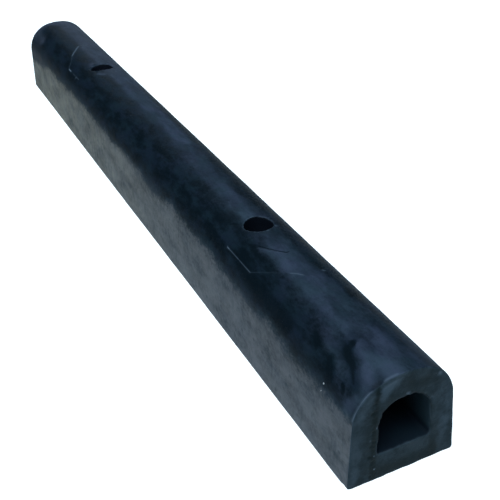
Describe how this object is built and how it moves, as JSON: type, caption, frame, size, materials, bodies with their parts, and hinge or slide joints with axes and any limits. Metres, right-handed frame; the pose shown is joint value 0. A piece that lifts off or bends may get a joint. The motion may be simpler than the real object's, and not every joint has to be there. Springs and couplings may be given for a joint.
{
  "type": "rubber dock bumper",
  "caption": "Straight moulded rubber fender of D section with a flat back, a D-shaped bore from end to end, and anchor holes through the crown and the floor of the bore.",
  "frame": {"origin": "centre of the flat back, on the surface that the bumper lies on or is bolted to", "axes": "+X along the bumper, +Y across it, +Z out of the dock wall, from the flat back to the crown"},
  "size_m": [1, 0.1, 0.1],
  "materials": {
    "black_rubber": "matte moulded black rubber with a blue-grey bloom on the crown, dusty paler sides and worn pale rims round the holes and the bore"
  },
  "bodies": {
    "root": {"rubber_body": "black_rubber"}
  },
  "joints": []
}
